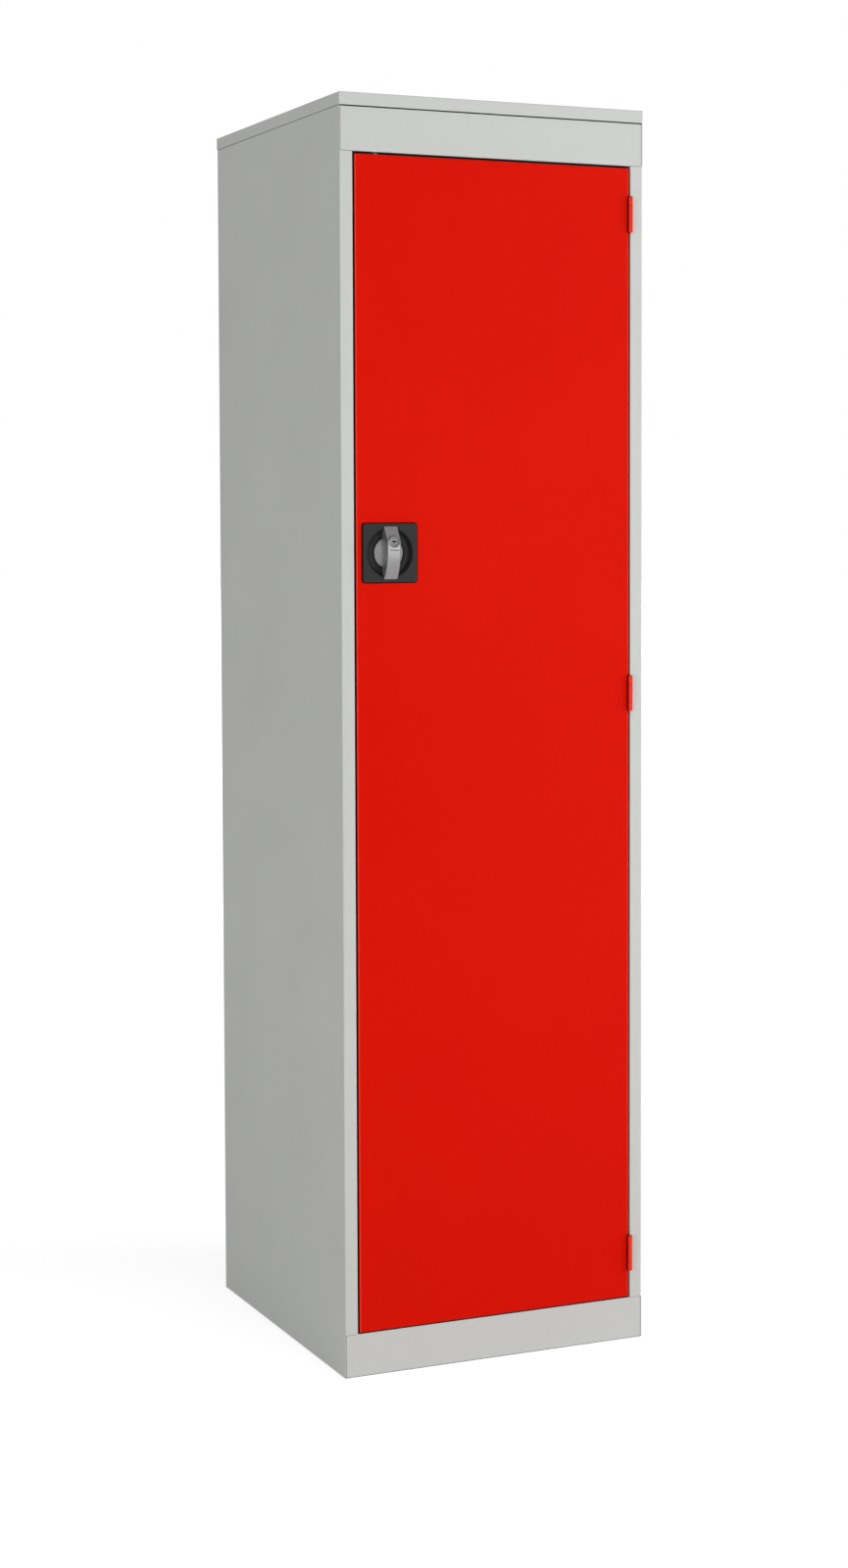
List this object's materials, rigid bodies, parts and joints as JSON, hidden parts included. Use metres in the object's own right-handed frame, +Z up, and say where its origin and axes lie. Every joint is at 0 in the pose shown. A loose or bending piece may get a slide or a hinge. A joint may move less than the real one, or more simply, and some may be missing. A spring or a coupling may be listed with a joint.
{
  "type": "tool locker",
  "caption": "Tall free-standing steel locker with a folded grey carcass, a full-height red hinged door and a recessed turning handle that drives a latch and two locking rods.",
  "frame": {"origin": "on the floor, under the middle of the overall box, which runs from the face of the handle to the back of the lid", "axes": "+Z up, -Y towards the person at the door, +X to that person's right, where the hinges are"},
  "size_m": [0.4706, 0.5086, 1.78],
  "materials": {
    "carcass_grey": "semi-matt light grey powder coat with a faint orange peel",
    "door_red": "semi-matt bright red powder coat with a faint orange peel",
    "zinc_steel": "bright zinc plate",
    "rubber": "matt black rubber",
    "escutcheon_black": "fine-textured black coating on a casting",
    "rod_nylon": "moulded black nylon",
    "handle_silver": "satin silver-grey coating on a zinc casting",
    "lock_nickel": "nickel-plated lock barrel and plug"
  },
  "bodies": {
    "cabinet": {"left_side_panel": "carcass_grey", "right_side_panel": "carcass_grey", "back_panel": "carcass_grey", "top_lid": "carcass_grey", "header_rail": "carcass_grey", "plinth_rail": "carcass_grey", "base_panel": "carcass_grey", "front_left_upright": "carcass_grey", "front_right_upright": "carcass_grey", "rear_left_upright": "carcass_grey", "rear_right_upright": "carcass_grey", "shelf_1": "carcass_grey", "shelf_2": "carcass_grey", "shelf_3": "carcass_grey", "shelf_4": "carcass_grey", "shelf_clips": "zinc_steel", "door_buffers": "rubber", "back_rivets": "zinc_steel", "top_hinge_frame_leaf": "door_red", "middle_hinge_frame_leaf": "door_red", "bottom_hinge_frame_leaf": "door_red", "top_hinge_pin": "door_red", "middle_hinge_pin": "door_red", "bottom_hinge_pin": "door_red", "frame_hinge_rivets": "zinc_steel"},
    "door": {"door_skin": "door_red", "door_stiffener": "door_red", "top_hinge_door_leaf": "door_red", "middle_hinge_door_leaf": "door_red", "bottom_hinge_door_leaf": "door_red", "door_hinge_rivets": "zinc_steel", "handle_escutcheon": "escutcheon_black", "lock_back_plate": "zinc_steel", "escutcheon_nuts": "zinc_steel", "top_rod_bush": "rod_nylon", "bottom_rod_bush": "rod_nylon", "rod_clips": "rod_nylon"},
    "handle": {"handle_hub": "handle_silver", "handle_grip": "handle_silver", "key_barrel": "lock_nickel", "latch_cam": "zinc_steel", "cam_pins": "zinc_steel", "spindle_washer": "zinc_steel", "spindle_bolt": "zinc_steel"},
    "key": {"key_plug": "lock_nickel", "key_cam": "zinc_steel"},
    "top_rod": {"top_rod": "zinc_steel", "top_rod_strap": "zinc_steel", "top_rod_nut": "zinc_steel"},
    "bottom_rod": {"bottom_rod": "zinc_steel", "bottom_rod_strap": "zinc_steel", "bottom_rod_nut": "zinc_steel"}
  },
  "joints": [
    {"name": "door_hinge", "type": "hinge", "parent": "cabinet", "child": "door", "pos_m": [0.21395, -0.2401, 0.89], "axis": [0, 0, 1], "range_deg": [0, 180]},
    {"name": "handle_turn", "type": "hinge", "parent": "door", "child": "handle", "pos_m": [-0.1623, -0.2365, 1.1515], "axis": [0, 1, 0], "range_deg": [0, 90]},
    {"name": "key_turn", "type": "hinge", "parent": "handle", "child": "key", "pos_m": [-0.1623, -0.2365, 1.1675], "axis": [0, 1, 0], "range_deg": [0, 90]},
    {"name": "top_rod_slide", "type": "slide", "parent": "door", "child": "top_rod", "axis": [0, 0, 1], "range_m": [0, 0.02546]},
    {"name": "bottom_rod_slide", "type": "slide", "parent": "door", "child": "bottom_rod", "axis": [0, 0, -1], "range_m": [0, 0.02546]}
  ],
  "couplings": [
    {"joint": "top_rod_slide", "follows": "handle_turn", "m_per_rad": 0.016206},
    {"joint": "bottom_rod_slide", "follows": "handle_turn", "m_per_rad": 0.016206}
  ]
}
